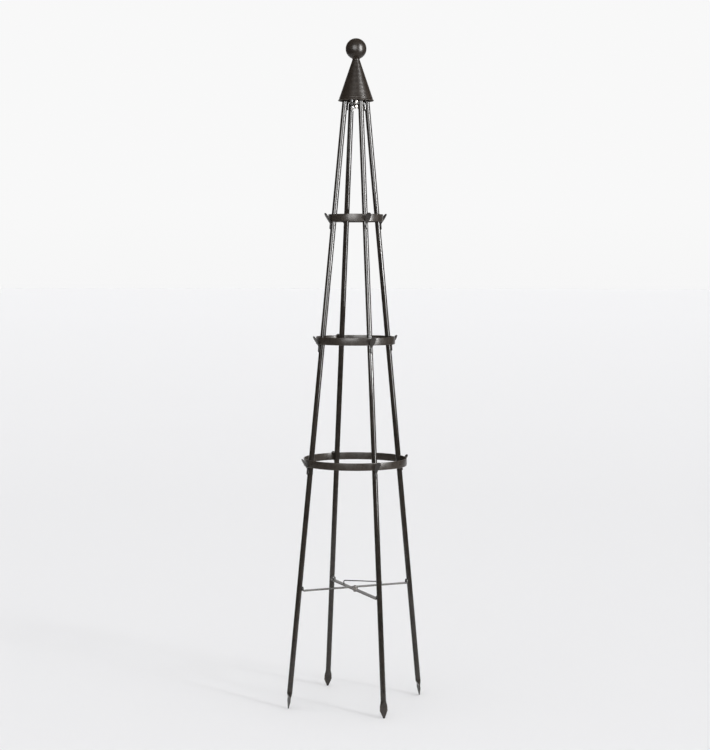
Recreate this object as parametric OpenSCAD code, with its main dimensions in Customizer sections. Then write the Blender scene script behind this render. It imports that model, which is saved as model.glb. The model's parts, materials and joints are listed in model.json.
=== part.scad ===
// Folding garden obelisk: two hinged frames of two leaning tube legs each,
// three lift-off rings, a scissor brace with a lock rod, and a cone cap with a ball.
// The origin is on the ground at the centre line. +Z is up, the right leg is
// towards +X and the back leg towards +Y.

/* [Legs] */
// Outside diameter of the leg tube
leg_d = 16; // [15:0.5:16.5]
// Wall thickness of the leg tube
leg_wall = 1.2; // [0.9:0.1:1.6]
// Distance from the centre line to each foot, on the ground
foot_radius = 215; // [205:1:225]
// Distance from the centre line to each leg's axis at the cap's rim
head_radius = 35; // [34:0.5:35.5]
// How far each leg reaches up inside the cap
leg_inside_cap = 19; // [12:1:20]

/* [Feet] */
// Length of the flat spear at the foot of each leg
spear_len = 30; // [26:1:34]
// Widest place of the spear
spear_w = 25; // [22:0.5:25]
// Thickness of the flattened tube
spear_t = 2.6; // [2:0.2:3.2]

/* [Rings] */
// Height of the lower edge of the lowest ring
ring_z = 717; // [700:1:730]
// Height from one ring to the next
ring_pitch = 362; // [350:1:365]
// Width of the ring's flat band
ring_h = 22; // [18:1:25]
// Thickness of the ring's flat band
ring_t = 2.5; // [2:0.1:2.6]

/* [Hooks] */
// Thickness of the hook's strip
hook_t = 3; // [2.5:0.1:3.5]
// Width of the narrow strip that is welded to the leg
hook_strip_w = 7; // [6:0.5:9]
// Widest place of the hook's leaf
hook_leaf_w = 19; // [16:1:22]
// Height of the hook's tip above the ring's lower edge
hook_tip = 23; // [18:1:26]
// Angle between the hook's leaf and the leg
hook_flare = 37; // [35:1:42]

/* [Brace] */
// Height of the underside of the lower brace bar
brace_z = 340; // [325:1:355]
// Width of each brace bar
bar_w = 16; // [14:1:18]
// Thickness of each brace bar
bar_t = 3; // [2.6:0.1:3.2]
// Clear height between the two bars
bar_gap = 5; // [4:0.5:7]
// Diameter of the lock rod's wire
wire_d = 3.2; // [3:0.1:3.4]
// Distance from the centre line to the lock rod's pivot and to its slot
lock_radius = 85; // [75:1:95]

/* [Cap] */
// Height of the cone's rim
rim_z = 1796; // [1780:1:1810]
// Radius of the cone at the start of its flared lip
cone_r = 49.1; // [48:0.1:50]
// Height of the cone above its lip
cone_h = 110.4; // [106:0.2:114]
// Thickness of the cone's sheet
cone_t = 1.4; // [1.2:0.1:1.6]
// Diameter of the ball
ball_d = 61.5; // [56:0.5:66]

/* [Hidden] */
$fn = 96;

// Directions of the four legs, as angles about the centre line
right = 0;
back = 90;
left = 180;
front = 270;

// Clearances: between fixed neighbours, round a turning pin, and under a turning face
snug = 0.02;
running = 0.05;
face_gap = 0.2;
seat_gap = 0.05;

// Leg geometry
lean = atan((foot_radius - head_radius) / rim_z);
leg_r = leg_d / 2;
leg_len = (rim_z + leg_inside_cap) / cos(lean);
function axis_r(z) = foot_radius - z * tan(lean);
function outer_r(z) = axis_r(z) + leg_r / cos(lean);
function inner_r(z) = axis_r(z) - leg_r / cos(lean);
// Distance along the leg at which a face offset x from its axis is at height z
function along_leg(z, x) = (z - x * sin(lean)) / cos(lean);

// Foot geometry
squash_len = 26;
spear_tip_r = 4;
spear_tip_up = 3.5;
spear_widest_up = 22.6;
spear_neck_w = spear_w - 1;

// Ring heights and clearance round the legs
ring_heights = [ring_z, ring_z + ring_pitch, ring_z + 2 * ring_pitch];
ring_clear = 0.3;

// Hook geometry, measured from the ring's lower edge
hook_bend_r = 10;
hook_bend_down = 8.6;
hook_foot_down = 22;
hook_leaf_len = 40;
bend_steps = 6;

// Brace heights
bar_b_z = brace_z + bar_t + bar_gap;
bar_b_top = bar_b_z + bar_t;
tab_h = 14;
brace_bolt_r = 3;
brace_bolt_end = brace_z - 6;
lock_run = lock_radius * sqrt(2);
lock_pivot_z = bar_b_top + 8;
lock_drop = 4.5;
lug_t = 3;
lug_r = 4.5;
axle_bend_r = 2.4;
tip_bend_r = 4;
lug_side = axle_bend_r + 0.4 + lug_t / 2;
slot_r = 2.4;
slot_travel = 2.3;

// Top hinge heights
yoke_w = 12;
yoke_t = 3;
washer_t = 1.2;
yoke_z = rim_z - 12;
yoke_b_z = yoke_z + yoke_t + washer_t + face_gap;
yoke_tab_z = yoke_z - 16;
rivet_z_top = yoke_tab_z + yoke_w / 2 + 1.5;
stud_r = 4;
nut_h = 6.5;
nut_w = 13;

// Rivet sizes
rivet_r = 2.4;
rivet_head_r = 4.2;
rivet_head_h = 2.4;

// Cap heights
lip_h = 9;
lip_out = 3.1;
bead_r = 1.5;
top_plate_t = 3;
neck_r = 11.3;
cone_top_z = rim_z + lip_h + cone_h;
collar_h = 4.4;
ball_base_z = cone_top_z + collar_h + face_gap;
ball_r = ball_d / 2;
ball_z = ball_base_z + sqrt(ball_r * ball_r - neck_r * neck_r);
ball_wall = 2;
ball_boss_r = 8;
stud_top = ball_base_z + 22;
stud_clear = 0.3;

// Colours of the dark bronze paint and of the plain hardware
paint = [0.16, 0.145, 0.135];
bar_paint = [0.30, 0.29, 0.28];
hardware = [0.34, 0.33, 0.32];

// --- Shared shapes ---

// Places its children on a leg: X points outwards from its axis, Z runs up it
module on_leg(angle) {
    rotate([0, 0, angle])
        translate([foot_radius, 0, 0])
            rotate([0, -lean, 0])
                children();
}

// An outline in the plane of X and Z, thick along Y
module side_view(thick) {
    rotate([90, 0, 0])
        linear_extrude(thick, center = true)
            children();
}

// An outline in the plane of Y and Z, thick along X
module front_view(thick) {
    rotate([90, 0, 90])
        linear_extrude(thick, center = true)
            children();
}

// The angle at which a line from p touches the right side of a circle of radius r
// that is centred at height c on the middle line
function touch_angle(p, c, r) =
    let (to_p = atan2(p[1] - c, p[0]), half = acos(r / norm([p[0], p[1] - c])))
    p[1] > c ? to_p - half : to_p + half;

// Points along an arc of radius r round the point c
function arc(c, r, from, to, steps) =
    [for (i = [0 : steps]) let (a = from + (to - from) * i / steps) c + r * [cos(a), sin(a)]];

// The same points on the other side of the middle, in reverse order
function mirrored(points) =
    [for (i = [len(points) - 1 : -1 : 0]) [-points[i][0], points[i][1]]];

// A low dome on a flat base
module dome(r, h) {
    ball = (r * r + h * h) / (2 * h);
    intersection() {
        translate([0, 0, h - ball])
            sphere(ball);
        cylinder(r = r, h = h);
    }
}

module hex_nut(width, h, bore_r) {
    difference() {
        cylinder(d = width / cos(30), h = h, $fn = 6);
        translate([0, 0, -1])
            cylinder(r = bore_r, h = h + 2);
    }
}

// A quarter turn of wire, from the X axis to the Y axis
module wire_bend(r) {
    rotate_extrude(angle = 90)
        translate([r, 0])
            circle(d = wire_d, $fn = 32);
}

// --- Legs ---

module spear_outline() {
    widest = [spear_w / 2, spear_widest_up];
    tip_end = touch_angle(widest, spear_tip_up, spear_tip_r);
    side = concat(
        arc([0, spear_tip_up], spear_tip_r, -89, tip_end, 6),
        [widest, [spear_neck_w / 2, spear_len + 1]]
    );
    polygon(concat(side, mirrored(side)));
}

// The leg's tube, pressed flat to a spear at its lower end
module leg_blank() {
    tube_start = spear_len + squash_len;
    difference() {
        translate([0, 0, tube_start])
            cylinder(r = leg_r, h = leg_len - tube_start);
        translate([0, 0, tube_start])
            cylinder(r = leg_r - leg_wall, h = leg_len);
    }
    hull() {
        translate([0, 0, tube_start])
            cylinder(r = leg_r, h = 1, $fn = 32);
        translate([-spear_t / 2, -spear_neck_w / 2, spear_len])
            cube([spear_t, spear_neck_w, 1]);
    }
    front_view(spear_t)
        spear_outline();
}

// A hole for a rivet through the inner wall of a leg and the strap on it
module rivet_hole(angle, z) {
    on_leg(angle)
        translate([-leg_r - bar_t - 4, 0, along_leg(z, -leg_r)])
            rotate([0, 90, 0])
                cylinder(r = rivet_r + snug, h = bar_t + leg_r + 2, $fn = 32);
}

module leg(angle, brace_rivet_z) {
    color(paint)
        difference() {
            on_leg(angle)
                leg_blank();
            translate([-2 * foot_radius, -2 * foot_radius, -20])
                cube([4 * foot_radius, 4 * foot_radius, 20]);
            rivet_hole(angle, brace_rivet_z);
            rivet_hole(angle, rivet_z_top);
        }
}

// --- Ring hooks ---

// The hook from the side: a strip welded to the leg, a bend and a flared leaf
module hook_side() {
    bend = [hook_t + hook_bend_r, -hook_bend_down];
    bend_end = 180 - hook_flare;
    along = hook_leaf_len * [sin(hook_flare), cos(hook_flare)];
    near_leg = arc(bend, hook_bend_r + hook_t, bend_end, 180, bend_steps);
    off_leg = arc(bend, hook_bend_r, 180, bend_end, bend_steps);
    polygon(concat(
        [off_leg[bend_steps] + along, near_leg[0] + along],
        near_leg,
        [[0, -hook_foot_down], [hook_t, -hook_foot_down]],
        off_leg
    ));
}

// The hook from the front: a narrow foot and a wide round leaf
module hook_front() {
    leaf_r = hook_leaf_w / 2;
    leaf = [0, hook_tip - leaf_r];
    foot_r = hook_strip_w / 2;
    foot = [0, foot_r - hook_foot_down];
    waist = [foot_r, -hook_bend_down];
    side = concat(
        arc(foot, foot_r, -85, 0, 5),
        [waist],
        arc(leaf, leaf_r, touch_angle(waist, leaf[1], leaf_r), 85, 10)
    );
    polygon(concat(side, mirrored(side)));
}

module hook(angle, ring) {
    color(paint)
        on_leg(angle)
            translate([leg_r + snug, 0, along_leg(ring_heights[ring], leg_r)])
                intersection() {
                    side_view(2 * hook_leaf_w)
                        hook_side();
                    front_view(4 * hook_leaf_len)
                        hook_front();
                }
}

// --- Rings ---

module ring(index) {
    z = ring_heights[index];
    r = outer_r(z) + ring_clear;
    color(paint)
        translate([0, 0, z])
            difference() {
                cylinder(r = r + ring_t, h = ring_h, $fn = 180);
                translate([0, 0, -1])
                    cylinder(r = r, h = ring_h + 2, $fn = 180);
            }
}

// --- Straps between two opposite legs, with an end tab riveted to each ---

// z_far and z_near are the plate's faces away from the tabs and next to them
module strap(z_far, z_near, z_tab, width, thick) {
    slant_t = thick / cos(lean);
    side = [
        [inner_r(z_far) - seat_gap, z_far],
        [inner_r(z_tab) - seat_gap, z_tab],
        [inner_r(z_tab) - seat_gap - slant_t, z_tab],
        [inner_r(z_near) - seat_gap - slant_t, z_near]
    ];
    to_tab = sign(z_tab - z_far);
    round_z = z_tab - to_tab * width / 2;
    intersection() {
        side_view(width + 2)
            polygon(concat(side, mirrored(side)));
        front_view(4 * foot_radius)
            union() {
                translate([0, round_z])
                    circle(width / 2);
                translate([-width / 2, min(z_far, round_z)])
                    square([width, abs(round_z - z_far)]);
            }
    }
}

module brace_bar(angle, z, pin_clear) {
    color(bar_paint)
        difference() {
            rotate([0, 0, angle])
                strap(z, z + bar_t, z + tab_h, bar_w, bar_t);
            translate([0, 0, z - 1])
                cylinder(r = brace_bolt_r + pin_clear, h = bar_t + 2, $fn = 48);
            for (side = [angle, angle + 180])
                rivet_hole(side, brace_rivet_z(z));
            children();
        }
}

function brace_rivet_z(z) = z + tab_h - bar_w / 2 + 1.5;

module brace_bar_lower() {
    brace_bar(back, brace_z, snug)
        lock_slot();
}

module brace_bar_upper() {
    brace_bar(right, bar_b_z, running);
}

// The slot that the lock rod's tip drops into; it is long so that the tip
// swings clear of it
module lock_slot() {
    translate([0, lock_radius + face_gap, brace_z - 1])
        linear_extrude(bar_t + 2)
            union() {
                circle(slot_r, $fn = 32);
                translate([-slot_travel, 0])
                    circle(slot_r, $fn = 32);
                translate([-slot_travel, -slot_r])
                    square([slot_travel, 2 * slot_r]);
            }
}

module yoke(angle, z, pin_clear) {
    color(bar_paint)
        difference() {
            rotate([0, 0, angle])
                strap(z + yoke_t, z, yoke_tab_z, yoke_w, yoke_t);
            translate([0, 0, z - 1])
                cylinder(r = stud_r + pin_clear, h = yoke_t + 2, $fn = 48);
            for (side = [angle, angle + 180])
                rivet_hole(side, rivet_z_top);
        }
}

module yoke_lower() {
    yoke(back, yoke_z, snug);
}

module yoke_upper() {
    yoke(right, yoke_b_z, running);
}

// A pair of blind rivets, one on each of two opposite legs
module rivet_pair(angle, z, strap_t) {
    head_x = -leg_r - seat_gap - strap_t;
    set_x = -leg_r / 2 - 1.2;
    color(hardware)
        for (side = [angle, angle + 180])
            on_leg(side)
                translate([0, 0, along_leg(z, -leg_r)])
                    rotate([0, -90, 0]) {
                        translate([0, 0, -set_x])
                            cylinder(r = rivet_r, h = set_x - head_x + 0.1, $fn = 32);
                        translate([0, 0, -set_x - 1.5])
                            cylinder(r = rivet_r + 1, h = 1.5, $fn = 32);
                        translate([0, 0, -head_x])
                            dome(rivet_head_r, rivet_head_h);
                    }
}

module brace_rivets_lower() {
    rivet_pair(back, brace_rivet_z(brace_z), bar_t);
}

module brace_rivets_upper() {
    rivet_pair(right, brace_rivet_z(bar_b_z), bar_t);
}

module yoke_rivets_lower() {
    rivet_pair(back, rivet_z_top, yoke_t);
}

module yoke_rivets_upper() {
    rivet_pair(right, rivet_z_top, yoke_t);
}

// --- Centre pivot of the brace ---

module brace_bolt() {
    color(hardware) {
        translate([0, 0, brace_bolt_end])
            cylinder(r = brace_bolt_r, h = bar_b_top + face_gap + 0.5 - brace_bolt_end, $fn = 48);
        translate([0, 0, bar_b_top + face_gap])
            dome(1.75 * brace_bolt_r, 1.1 * brace_bolt_r);
    }
}

module brace_spacer() {
    color(hardware)
        translate([0, 0, brace_z + bar_t])
            difference() {
                cylinder(r = 3 * brace_bolt_r, h = bar_gap - face_gap, $fn = 64);
                translate([0, 0, -1])
                    cylinder(r = brace_bolt_r + snug, h = bar_gap + 2, $fn = 48);
            }
}

module brace_nut() {
    color(hardware)
        translate([0, 0, brace_z - 5])
            hex_nut(10, 5, brace_bolt_r + snug);
}

// --- Lock rod ---

// X runs from the rod's pivot on the upper bar to its slot in the lower bar
module at_lock() {
    translate([lock_radius, 0, 0])
        rotate([0, 0, 135])
            children();
}

// The lug stands on the upper bar, and the rod's bent end turns in its hole
module lock_lug() {
    color(bar_paint)
        at_lock()
            translate([0, lug_side, bar_b_top])
                side_view(lug_t)
                    difference() {
                        union() {
                            translate([-lug_r, 0])
                                square([2 * lug_r, lock_pivot_z - bar_b_top]);
                            translate([0, lock_pivot_z - bar_b_top])
                                circle(lug_r, $fn = 48);
                        }
                        translate([0, lock_pivot_z - bar_b_top])
                            circle(d = wire_d + 2 * running, $fn = 32);
                    }
}

// Bent wire: an axle through the lug, a run down to the lower bar and a tip
// that drops through the slot
module lock_rod() {
    slope = asin(lock_drop / lock_run);
    tip_len = lock_pivot_z - lock_drop - brace_z + 1;
    run = (lock_run + tip_len * sin(slope)) / cos(slope);
    head_y = lug_side + lug_t / 2 + 0.3;
    color(bar_paint)
        at_lock()
            translate([0, 0, lock_pivot_z])
                rotate([0, slope, 0]) {
                    translate([0, axle_bend_r, 0])
                        rotate([-90, 0, 0])
                            cylinder(d = wire_d, h = head_y - axle_bend_r, $fn = 32);
                    translate([0, head_y, 0])
                        rotate([-90, 0, 0])
                            cylinder(d = wire_d + 2.4, h = 1.2, $fn = 32);
                    translate([axle_bend_r, axle_bend_r, 0])
                        rotate([0, 0, 180])
                            wire_bend(axle_bend_r);
                    translate([axle_bend_r, 0, 0])
                        rotate([0, 90, 0])
                            cylinder(d = wire_d, h = run - axle_bend_r - tip_bend_r, $fn = 32);
                    translate([run - tip_bend_r, 0, -tip_bend_r])
                        rotate([90, 0, 0])
                            wire_bend(tip_bend_r);
                    translate([run, 0, -tip_len])
                        cylinder(d = wire_d, h = tip_len - tip_bend_r, $fn = 32);
                }
}

// --- Top hinge ---

module pivot_stud() {
    color(hardware)
        translate([0, 0, yoke_z - nut_h - 3.5])
            cylinder(r = stud_r, h = stud_top - yoke_z + nut_h + 3.5, $fn = 48);
}

module stud_nut() {
    color(hardware)
        translate([0, 0, yoke_z - nut_h])
            hex_nut(nut_w, nut_h, stud_r + snug);
}

module yoke_washer() {
    color(hardware)
        translate([0, 0, yoke_z + yoke_t])
            difference() {
                cylinder(r = 2 * stud_r, h = washer_t, $fn = 48);
                translate([0, 0, -1])
                    cylinder(r = stud_r + snug, h = washer_t + 2, $fn = 48);
            }
}

module yoke_lock_nut() {
    color(hardware)
        translate([0, 0, yoke_b_z + yoke_t + face_gap])
            hex_nut(nut_w, nut_h, stud_r + snug);
}

module cap_nut() {
    color(hardware)
        translate([0, 0, cone_top_z - top_plate_t - face_gap - nut_h])
            hex_nut(nut_w, nut_h, stud_r + snug);
}

// --- Cap and finial ---

// Sheet cone with a flared lip, a rolled bead at its rim and a bored top plate
module cap_cone() {
    lip_z = rim_z + lip_h;
    slope = (cone_r - neck_r) / cone_h;
    sheet = cone_t * sqrt(1 + slope * slope);
    lip_sheet = cone_t * sqrt(1 + pow(lip_out / lip_h, 2));
    plate_z = cone_top_z - top_plate_t;
    plate_r = neck_r + slope * top_plate_t - sheet;
    edge_z = rim_z + bead_r;
    color(paint)
        rotate_extrude($fn = 180)
            union() {
                polygon([
                    [stud_r + stud_clear, plate_z],
                    [plate_r, plate_z],
                    [cone_r - lip_sheet, lip_z],
                    [cone_r + lip_out - lip_sheet, edge_z],
                    [cone_r + lip_out, edge_z],
                    [cone_r, lip_z],
                    [neck_r, cone_top_z],
                    [stud_r + stud_clear, cone_top_z]
                ]);
                translate([cone_r + lip_out - bead_r / 2, edge_z])
                    circle(bead_r, $fn = 32);
                translate([cone_r, lip_z])
                    circle(cone_t / 2, $fn = 32);
            }
}

module cap_collar() {
    bevel = 0.8;
    color(paint)
        rotate_extrude()
            translate([0, cone_top_z])
                polygon([
                    [stud_r + stud_clear, 0],
                    [neck_r, 0],
                    [neck_r, collar_h - bevel],
                    [neck_r - bevel, collar_h],
                    [stud_r + stud_clear, collar_h]
                ]);
}

// Hollow ball with a bored boss inside, and a flat where it meets the collar
module ball() {
    color(paint)
        difference() {
            intersection() {
                translate([0, 0, ball_z])
                    sphere(ball_r, $fn = 128);
                translate([0, 0, ball_base_z])
                    cylinder(r = ball_r + 1, h = 2 * ball_r);
            }
            difference() {
                translate([0, 0, ball_z])
                    sphere(ball_r - ball_wall, $fn = 128);
                translate([0, 0, ball_base_z - 1])
                    cylinder(r = ball_boss_r, h = stud_top - ball_base_z + 5);
                translate([0, 0, ball_base_z - 1])
                    cylinder(r = neck_r, h = ball_wall + 1);
            }
            translate([0, 0, ball_base_z - 1])
                cylinder(r = stud_r + running, h = stud_top - ball_base_z + 2, $fn = 48);
        }
}

leg(right, brace_rivet_z(bar_b_z));  // leg_right
leg(back, brace_rivet_z(brace_z));  // leg_back
leg(left, brace_rivet_z(bar_b_z));  // leg_left
leg(front, brace_rivet_z(brace_z));  // leg_front
hook(right, 0);  // hook_right_lower
hook(right, 1);  // hook_right_middle
hook(right, 2);  // hook_right_upper
hook(back, 0);  // hook_back_lower
hook(back, 1);  // hook_back_middle
hook(back, 2);  // hook_back_upper
hook(left, 0);  // hook_left_lower
hook(left, 1);  // hook_left_middle
hook(left, 2);  // hook_left_upper
hook(front, 0);  // hook_front_lower
hook(front, 1);  // hook_front_middle
hook(front, 2);  // hook_front_upper
ring(0);  // ring_lower
ring(1);  // ring_middle
ring(2);  // ring_upper
brace_bar_lower();
brace_bar_upper();
brace_rivets_lower();
brace_rivets_upper();
brace_bolt();
brace_spacer();
brace_nut();
lock_rod();
lock_lug();
yoke_lower();
yoke_upper();
yoke_washer();
yoke_rivets_lower();
yoke_rivets_upper();
pivot_stud();
stud_nut();
yoke_lock_nut();
cap_nut();
cap_cone();
cap_collar();
ball();
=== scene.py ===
"""Looks of the folding garden obelisk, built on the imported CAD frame."""

import json
import math

import bmesh
import bpy
from mathutils import Matrix, Vector, noise


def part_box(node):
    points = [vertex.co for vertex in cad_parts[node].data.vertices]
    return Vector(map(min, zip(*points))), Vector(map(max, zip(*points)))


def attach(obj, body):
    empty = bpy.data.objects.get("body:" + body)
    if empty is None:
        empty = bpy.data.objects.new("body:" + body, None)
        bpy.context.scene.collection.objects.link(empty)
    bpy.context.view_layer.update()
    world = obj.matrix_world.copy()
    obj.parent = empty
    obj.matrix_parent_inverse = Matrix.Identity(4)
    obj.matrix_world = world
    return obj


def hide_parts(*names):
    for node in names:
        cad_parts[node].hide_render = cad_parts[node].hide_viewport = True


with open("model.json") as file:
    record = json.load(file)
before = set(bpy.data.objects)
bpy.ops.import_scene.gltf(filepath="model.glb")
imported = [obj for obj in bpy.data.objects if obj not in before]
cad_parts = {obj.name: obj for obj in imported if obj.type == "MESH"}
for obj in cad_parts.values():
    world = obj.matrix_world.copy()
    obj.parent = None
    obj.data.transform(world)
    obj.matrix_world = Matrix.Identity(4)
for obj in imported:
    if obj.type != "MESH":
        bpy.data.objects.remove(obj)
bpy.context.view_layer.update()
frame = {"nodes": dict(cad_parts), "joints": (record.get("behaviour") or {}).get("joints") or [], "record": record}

MM = 0.001
DIRECTIONS = {"right": 0, "back": 90, "left": 180, "front": 270}
LEVELS = ("lower", "middle", "upper")
BODY_OF_LEG = {
    "right": "side_frame",
    "left": "side_frame",
    "back": "front_back_frame",
    "front": "front_back_frame",
}


# --- Measures read from the frame ---


def span(node):
    """Width, depth and height of a CAD node."""
    lo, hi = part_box(node)
    return hi - lo


def radii(node):
    """Smallest and largest distance of a node's points from the centre line."""
    found = [math.hypot(v.co.x, v.co.y) for v in frame["nodes"][node].data.vertices]
    return min(found), max(found)


def joint(name):
    return next(j for j in frame["joints"] if j["name"] == name)


RING_LOW = {k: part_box("ring_" + k)[0].z for k in LEVELS}
RING_HIGH = {k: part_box("ring_" + k)[1].z for k in LEVELS}
RING_RADII = {k: radii("ring_" + k) for k in LEVELS}

FOOT_R = max(mount["pos_m"][0] for mount in frame["record"]["mounts"])
LEAN = math.atan(
    (RING_RADII["lower"][1] - RING_RADII["upper"][1]) / (RING_LOW["upper"] - RING_LOW["lower"])
)
TUBE_R = max(
    abs(v.co.y) for v in frame["nodes"]["leg_right"].data.vertices if v.co.z > RING_LOW["lower"]
)
TUBE_WALL = 1.2 * MM
TUBE_LEN = (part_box("leg_right")[1].z - TUBE_R * math.sin(LEAN)) / math.cos(LEAN)
SPEAR_HALF_W = span("leg_right").y / 2


def leg_matrix(angle):
    """A leg's own axes: X outwards from its axis, Z up along it."""
    return (
        Matrix.Rotation(math.radians(angle), 4, "Z")
        @ Matrix.Translation((FOOT_R, 0, 0))
        @ Matrix.Rotation(-LEAN, 4, "Y")
    )


def along_leg(z, x):
    """Distance along the leg at which a face offset x from its axis is at height z."""
    return (z - x * math.sin(LEAN)) / math.cos(LEAN)


# --- Shared mesh tools ---


def smooth_step(t):
    t = min(1, max(0, t))
    return t * t * (3 - 2 * t)


def lumps(point, scale, seed):
    """Smooth noise between -1 and 1 that is the same in every run."""
    return noise.noise(Vector(point) * scale + Vector((seed, 2.3 * seed, -1.7 * seed)))


def rounded_rect(half_x, half_y, corner, steps=3):
    """A rectangle's outline with rounded corners, counter-clockwise."""
    corner = min(corner, half_x, half_y)
    points = []
    for turn, (sx, sy) in enumerate(((1, 1), (-1, 1), (-1, -1), (1, -1))):
        for i in range(steps + 1):
            a = math.pi / 2 * (turn + i / steps)
            points.append(
                (
                    sx * (half_x - corner) + corner * math.cos(a),
                    sy * (half_y - corner) + corner * math.sin(a),
                )
            )
    return points


def squircle(half_x, half_y, power, steps):
    """An ellipse at power 2, which squares up as power grows."""
    points = []
    for i in range(steps):
        c, s = math.cos(2 * math.pi * i / steps), math.sin(2 * math.pi * i / steps)
        points.append(
            (
                half_x * math.copysign(abs(c) ** (2 / power), c),
                half_y * math.copysign(abs(s) ** (2 / power), s),
            )
        )
    return points


def skin(bm, rows, loop=False):
    """Faces between rows of points that each go once round, closed by caps or into a loop."""
    made = [[bm.verts.new(p) for p in row] for row in rows]
    pairs = list(zip(made, made[1:]))
    if loop:
        pairs.append((made[-1], made[0]))
    for a, b in pairs:
        for i in range(len(a)):
            j = (i + 1) % len(a)
            bm.faces.new((a[i], a[j], b[j], b[i]))
    if not loop:
        bm.faces.new(made[0])
        bm.faces.new(made[-1])


def lathe(bm, profile, segments, closed=True):
    """Turns an outline of (radius, height) points about Z; an open one starts and ends on Z."""
    rows = []
    for k in range(segments):
        a = 2 * math.pi * k / segments
        rows.append([bm.verts.new((r * math.cos(a), r * math.sin(a), z)) for r, z in profile])
    count = len(profile) if closed else len(profile) - 1
    for a, b in zip(rows, rows[1:] + rows[:1]):
        for i in range(count):
            j = (i + 1) % len(profile)
            bm.faces.new((a[i], b[i], b[j], a[j]))


def filleted(points, fillets, steps=6):
    """A path through points, its corners rounded to the given radii."""
    path = [Vector(points[0])]
    for before, corner, after, radius in zip(points, points[1:], points[2:], fillets):
        corner = Vector(corner)
        d_in = (corner - Vector(before)).normalized()
        d_out = (Vector(after) - corner).normalized()
        half = d_in.angle(d_out) / 2
        centre = corner + (d_out - d_in).normalized() * radius / math.cos(half)
        start = corner - d_in * radius * math.tan(half) - centre
        end = corner + d_out * radius * math.tan(half) - centre
        for i in range(steps + 1):
            path.append(centre + radius * start.normalized().slerp(end.normalized(), i / steps))
    path.append(Vector(points[-1]))
    return path


def subdivided(path, step):
    """The same path with points no further apart than step."""
    out = [path[0]]
    for a, b in zip(path, path[1:]):
        count = max(1, math.ceil((b - a).length / step))
        out += [a.lerp(b, i / count) for i in range(1, count + 1)]
    return out


def sweep_rows(path, across, section_at):
    """Rows of points: section_at(distance, length) gives (along across, along normal) pairs."""
    length = sum((b - a).length for a, b in zip(path, path[1:]))
    rows, gone = [], 0
    for i, p in enumerate(path):
        if i:
            gone += (p - path[i - 1]).length
        tangent = (path[min(i + 1, len(path) - 1)] - path[max(i - 1, 0)]).normalized()
        side = (across - tangent * across.dot(tangent)).normalized()
        normal = tangent.cross(side)
        rows.append([p + side * u + normal * v for u, v in section_at(gone, length)])
    return rows


def weld_bead(bm, path, radius, seed):
    """A lumpy run of weld along a path, thinner at its two ends."""
    axis = (path[-1] - path[0]).normalized()
    across = axis.orthogonal().normalized()

    def section(gone, length):
        end = min(gone, length - gone) / radius
        swell = 1 + 0.22 * math.sin(gone / radius * 2.6) + 0.2 * lumps((gone, 0, 0), 900, seed)
        r = radius * swell * math.sqrt(smooth_step(end / 1.5 + 0.06))
        return squircle(r, r, 2, 12)

    skin(bm, sweep_rows(subdivided(path, radius * 0.4), across, section))


def piece(name, bm, body, material, stands_for=(), matrix=None, sharp=35, wear=None):
    """Makes an object of bm that rides on a body and takes the given material."""
    bmesh.ops.remove_doubles(bm, verts=bm.verts, dist=1e-6)
    bmesh.ops.dissolve_degenerate(bm, edges=bm.edges, dist=1e-6)
    bmesh.ops.recalc_face_normals(bm, faces=bm.faces)
    mesh = bpy.data.meshes.new(name)
    bm.to_mesh(mesh)
    bm.free()
    if wear:
        layer = mesh.attributes.new("wear", "FLOAT", "POINT")
        for i, v in enumerate(mesh.vertices):
            layer.data[i].value = wear(v.co)
    if matrix:
        mesh.transform(matrix)
    mesh.shade_smooth()
    mesh.set_sharp_from_angle(angle=math.radians(sharp))
    obj = bpy.data.objects.new(name, mesh)
    bpy.context.scene.collection.objects.link(obj)
    mesh.materials.append(material)
    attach(obj, body)
    if stands_for:
        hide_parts(*stands_for)
    return obj


# --- Materials ---


class Tree:
    """Short calls for one material's nodes."""

    def __init__(self, name):
        self.material = bpy.data.materials.new(name)
        self.material.use_nodes = True
        self.tree = self.material.node_tree
        self.shader = self.tree.nodes["Principled BSDF"]
        self.place = self.add("ShaderNodeTexCoord").outputs["Object"]

    def add(self, kind, inputs=None, **settings):
        node = self.tree.nodes.new(kind)
        for key, value in settings.items():
            setattr(node, key, value)
        for key, value in (inputs or {}).items():
            self.feed(node.inputs[key], value)
        return node

    def feed(self, socket, value):
        if isinstance(value, bpy.types.NodeSocket):
            self.tree.links.new(value, socket)
        else:
            socket.default_value = value

    def noise(self, scale, detail=4, rough=0.55, stretch=(1, 1, 1)):
        mapping = self.add("ShaderNodeMapping", {"Vector": self.place, "Scale": stretch})
        node = self.add(
            "ShaderNodeTexNoise",
            {"Vector": mapping.outputs[0], "Scale": scale, "Detail": detail, "Roughness": rough},
        )
        return node.outputs["Fac"]

    def cells(self, scale):
        node = self.add(
            "ShaderNodeTexVoronoi",
            {"Vector": self.place, "Scale": scale, "Smoothness": 0.6},
            feature="SMOOTH_F1",
        )
        return node.outputs["Distance"]

    def remap(self, value, low, high, to_low=0.0, to_high=1.0):
        node = self.add(
            "ShaderNodeMapRange",
            {"Value": value, 1: low, 2: high, 3: to_low, 4: to_high},
            interpolation_type="SMOOTHSTEP",
        )
        return node.outputs[0]

    def mix(self, factor, a, b):
        node = self.add("ShaderNodeMix", data_type="RGBA")
        for index, value in ((0, factor), (6, a), (7, b)):
            self.feed(node.inputs[index], value)
        return node.outputs[2]

    def math(self, operation, a, b):
        return self.add("ShaderNodeMath", {0: a, 1: b}, operation=operation).outputs[0]

    def bump(self, height, depth, under=None):
        inputs = {"Height": height, "Distance": depth, "Strength": 1.0}
        if under:
            inputs["Normal"] = under
        return self.add("ShaderNodeBump", inputs).outputs[0]


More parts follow.
